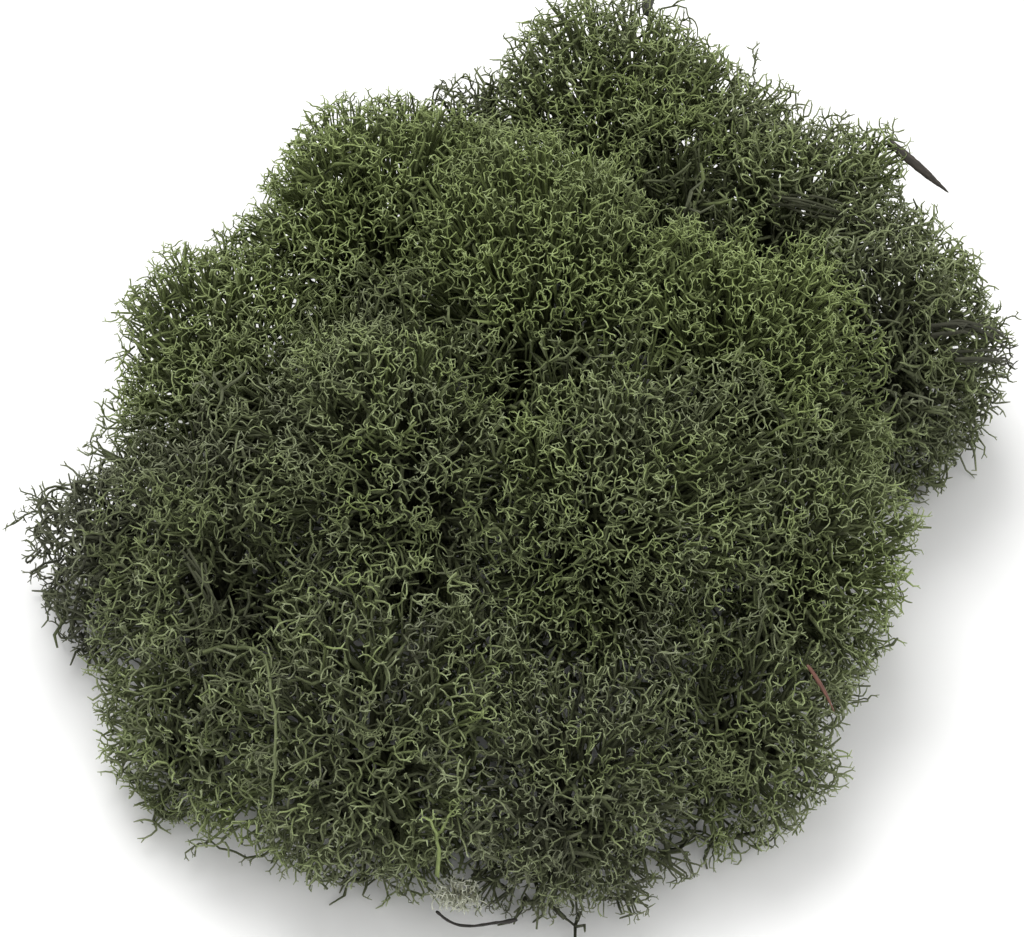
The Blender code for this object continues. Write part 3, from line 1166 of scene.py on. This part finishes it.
def build_moss():
    rng = np.random.default_rng(11)
    open_air, joins, feet = outside_points(rng)
    surface = even_out(open_air)
    hollows = hollow_places()
    sprigs = sprig_forms(rng)
    tree = moss_tree()
    finishes = {
        "olive_moss": moss_finish("olive_moss", 1.0),
        "grey_green_moss": moss_finish("grey_green_moss", 0.95),
        "dark_green_moss": moss_finish("dark_green_moss", 0.88),
    }
    total = 0
    for number, node in enumerate(MOSS_HEADS):
        points, aims, hollow = lumps(*surface[node], hollows)
        room = SPRIG_SPACING * blended(node, 1, points)
        room *= 1 + 0.3 * MOSS_HEADS[node][2] + 0.5 * hollow
        outward = surface[node][1]
        room *= 1 + 0.5 * smoothstep(0.25, -0.7, outward[:, 2])
        far_side = smoothstep(0.1, -0.6, outward @ TOWARDS_VIEWER)
        room *= 1 + far_side * (0.1 if node in THICK_HEADS else 0.35)
        kept = thin_out(points, room)
        peaks = peaks_at(points[kept], hollow[kept], rng)
        ways = unit(aims[kept] + rng.normal(0, 0.38, (len(kept), 3)))
        seats = points[kept], ways, tints_at(node, points[kept], rng), peaks
        unders = older_layer(node, points, aims, joins[node], rng)
        soles = feet[node][thin_out(feet[node], np.full(len(feet[node]), FOOT_SPACING))]
        tangle = grow_tangle(node, seats, unders, (soles, None, None), rng)
        add_combed_stems(tangle, node, surface[node], rng)
        add_strays(tangle, node, surface[node], rng)
        add_single_stems(tangle, node, rng)
        piece = grow_head(node, tangle, tree, sprigs, finishes[MOSS_SLOTS[node]], number + 1)
        piece.data.calc_loop_triangles()
        triangles = len(piece.data.loop_triangles)
        total += triangles
        print(f"{node}: {len(kept)} sprigs, {len(unders[0])} under, {len(soles)} soles, {triangles} tris")
    print("total moss triangles", total)
    grow_pale_scrap(tree, sprigs, rng)
    for sprig in list(sprigs.objects):
        bpy.data.objects.remove(sprig)
    bpy.data.collections.remove(sprigs)


def grow_pale_scrap(tree, sprigs, rng):
    """The scrap of moss that took no dye: a few stalks and a loose layer of sprigs."""
    node = "pale_scrap"
    points, normals = scatter(node, 40 / MM**2, rng)
    kept = thin_out(points, np.full(len(points), 0.95 * MM))
    middle = middle_of(node)
    ends = middle + (points[kept] - middle) * rng.uniform(0.6, 1.15, (len(kept), 1))
    aims = unit(normals[kept] + rng.normal(0, 0.4, (len(kept), 3)))
    starts = middle + (ends - middle) * (0.8, 0.1, 0.1)
    seat = np.zeros((len(kept), 4))
    seat[:, -1] = 1
    tangle = Tangle()
    tangle.add(
        bent_lines(starts, ends, unit(ends - middle), aims, 3, 0.1 * MM, rng),
        aims=aims,
        thickness=spread(0.24 * MM, 0.16 * MM, 4),
        age=spread(0.1, 0.5, 4),
        tint=rng.uniform(0.2, 0.8, (len(kept), 1)),
        peak=seat,
        vigour=seat * 0.85,
        form=rng.integers(0, FORM_COUNTS["fine"], (len(kept), 1)),
        seat=seat,
    )
    finish = moss_finish("undyed_moss", 1.0, (UNDYED_MOSS, UNDYED_MOSS))
    grow_head(node, tangle, tree, sprigs, finish, 40)


def older_layer(node, points, aims, joins, rng):
    """Seats for the older branches under the surface and where two heads meet. Their colour is kept darker and
    duller than the surface's, partly as their older colour and partly as painted shade of depth.
    """
    places = np.concatenate([points, joins[0]])
    ways = np.concatenate([aims, unit(joins[1] + (0, 0, 0.8))])
    spacing = UNDER_SPACING * (0.82 if node in THICK_HEADS else 1)
    layers = []
    for room, (shallow, deep), size in ((spacing, UNDER_DEPTH, 1.0), (spacing * 1.4, DEEP_DEPTH, 1.3)):
        kept = thin_out(places, np.full(len(places), room))
        depth = rng.uniform(shallow, deep, len(kept))[:, None]
        layers.append((places[kept] - ways[kept] * depth, ways[kept], np.full(len(kept), size)))
    places, ways, sizes = [np.concatenate(parts) for parts in zip(*layers)]
    places[:, 2] = np.maximum(places[:, 2], 2 * MM)
    ways = unit(ways + rng.normal(0, 0.5, (len(ways), 3)))
    # Painted shade of depth, partly older colour: these tips stop at 0.58 on the colour map, and their tint is
    # dulled by 0.9.
    return places, ways, tints_at(node, places, rng) * 0.9, np.full(len(places), 0.58), sizes


def tints_at(node, points, rng):
    """The tint drifts over a head and varies a little from sprig to sprig."""
    drift = np.array([noise.noise(Vector(p) / (20 * MM)) for p in points])
    patch = np.array([noise.noise(Vector(p) / (6 * MM) + Vector((5, 5, 5))) for p in points])
    own = blended(node, 0, points)
    return np.clip(own + 0.35 * drift + 0.45 * patch + rng.normal(0, 0.09, len(points)), 0, 1)


def peaks_at(points, hollow, rng):
    """How pale the tips are: duller in creases, pockets and hollows as painted shade, and duller in patches at
    random.
    """
    patch = np.array([noise.noise(Vector(p) / (5 * MM) + Vector((2, 6, 8))) for p in points])
    # Painted shade: the tips are dulled where the surface sinks into a crease, pocket or hollow.
    return np.clip(0.97 + 0.16 * patch - 0.17 * hollow + rng.normal(0, 0.04, len(points)), 0.5, 1)


# ---------------------------------------------------------------- plant scraps


def long_way(node):
    """The direction in which a CAD node is longest."""
    places = triangles_of(node)[0].reshape(-1, 3)
    way = np.linalg.svd(places - places.mean(0), full_matrices=False)[2][0]
    return way * np.sign(way[0])


def weathered(node, finish, cuts, relief, size):
    """A scrap made from its CAD node, with a finer, worn surface."""
    bm = bmesh.new()
    bm.from_mesh(frame["nodes"][node].data)
    bmesh.ops.remove_doubles(bm, verts=bm.verts, dist=MM / 1000)
    bmesh.ops.subdivide_edges(bm, edges=bm.edges, cuts=cuts, smooth=0.4, use_grid_fill=True)
    bm.normal_update()
    for vert in bm.verts:
        vert.co += vert.normal * relief * noise.noise(vert.co / size)
    bmesh.ops.recalc_face_normals(bm, faces=bm.faces)
    mesh = bpy.data.meshes.new(node + "_worn")
    bm.to_mesh(mesh)
    bm.free()
    mesh.materials.append(finish)
    mesh.shade_smooth()
    piece = bpy.data.objects.new(node + "_worn", mesh)
    bpy.context.scene.collection.objects.link(piece)
    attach(piece, "root")
    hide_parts(node)


def build_scraps():
    bark = streaked_finish(
        "bark", long_way("bark_splinter"), (0.010, 0.009, 0.007), (0.060, 0.048, 0.036),
        0.25 * MM, 0.7, 0.08 * MM,
    )
    weathered("bark_splinter", bark, 2, 0.10 * MM, 0.5 * MM)
    needle = streaked_finish(
        "needle", long_way("pine_needle"), (0.050, 0.018, 0.012), (0.165, 0.062, 0.036),
        0.20 * MM, 0.45, 0.03 * MM,
    )
    weathered("pine_needle", needle, 2, 0.04 * MM, 0.6 * MM)
    stalk = streaked_finish(
        "stalk", long_way("cut_stalk"), (0.026, 0.027, 0.020), (0.105, 0.110, 0.085),
        0.25 * MM, 0.8, 0.08 * MM,
    )
    weathered("cut_stalk", stalk, 2, 0.16 * MM, 0.35 * MM)
    fibre = streaked_finish(
        "fibre", long_way("root_fibre"), (0.007, 0.006, 0.005), (0.035, 0.030, 0.024),
        0.20 * MM, 0.65, 0.03 * MM,
    )
    weathered("root_fibre", fibre, 1, 0.06 * MM, 0.7 * MM)


# ---------------------------------------------------------------- studio

LENS = 135
PICTURE_FILL = 0.995  # share of the picture's width that the clump takes


def pale_floor():
    made = Finish("pale_floor")
    place = made.add("ShaderNodeTexCoord").outputs["Object"]
    paper = made.add("ShaderNodeTexNoise", Vector=place, Scale=35.0, Detail=3.0)
    tone = made.ramp(paper.outputs["Fac"], ((0.3, (0.86, 0.86, 0.855)), (0.7, (0.90, 0.90, 0.895))))
    made.link(tone, made.shader.inputs["Base Color"])
    made.shader.inputs["Roughness"].default_value = 0.9
    mesh = bpy.data.meshes.new("floor")
    size = 3.0
    corners = [(-size, -size, 0), (size, -size, 0), (size, size, 0), (-size, size, 0)]
    mesh.from_pydata(corners, [], [(0, 1, 2, 3)])
    mesh.materials.append(made.material)
    floor = bpy.data.objects.new("floor", mesh)
    bpy.context.scene.collection.objects.link(floor)
    floor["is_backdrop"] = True


def soft_light(name, place, size, power):
    light = bpy.data.lights.new(name, "AREA")
    light.shape = "SQUARE"
    light.size = size
    light.energy = power
    lamp = bpy.data.objects.new(name, light)
    lamp.location = place
    lamp.rotation_mode = "QUATERNION"
    lamp.rotation_quaternion = (-Vector(place)).to_track_quat("-Z", "Y")
    bpy.context.scene.collection.objects.link(lamp)


def place_camera(camera, back):
    """Where the camera stands for the clump to fill the picture."""
    right = np.array((1.0, 0.0, 0.0))
    ahead = -np.array(back)
    up = np.cross(right, ahead)
    points = np.concatenate([corners_of(piece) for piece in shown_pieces()])
    place = points.mean(0) - ahead * 0.5
    half = camera.sensor_width / 2 / camera.lens * PICTURE_FILL
    for _ in range(12):
        seen = points - place
        depth = seen @ ahead
        across, rise = seen @ right / depth, seen @ up / depth
        far = depth.mean()
        place = place + right * (across.max() + across.min()) / 2 * far
        place = place + up * (rise.max() + rise.min()) / 2 * far
        place = place + ahead * far * (1 - (across.max() - across.min()) / 2 / half)
    return Vector(place)


def corners_of(piece):
    places = np.empty(len(piece.data.vertices) * 3)
    piece.data.vertices.foreach_get("co", places)
    return places.reshape(-1, 3)[::7]


def studio():
    scene = bpy.context.scene
    scene.view_settings.view_transform = "Standard"
    world = bpy.data.worlds.new("studio")
    world.use_nodes = True
    world.node_tree.nodes["Background"].inputs["Color"].default_value = (1, 1, 1, 1)
    world.node_tree.nodes["Background"].inputs["Strength"].default_value = 0.92
    scene.world = world
    soft_light("key", (-0.15, 0.45, 0.85), 0.55, 6.8)
    soft_light("fill", (0.5, -0.5, 0.7), 0.6, 1.2)
    pale_floor()
    camera = bpy.data.cameras.new("camera")
    camera.lens = LENS
    seat = bpy.data.objects.new("camera", camera)
    back = Vector(TOWARDS_VIEWER)
    seat.location = place_camera(camera, back)
    seat.rotation_mode = "QUATERNION"
    seat.rotation_quaternion = (-back).to_track_quat("-Z", "Y")
    scene.collection.objects.link(seat)
    scene.camera = seat


build_moss()
build_scraps()
studio()
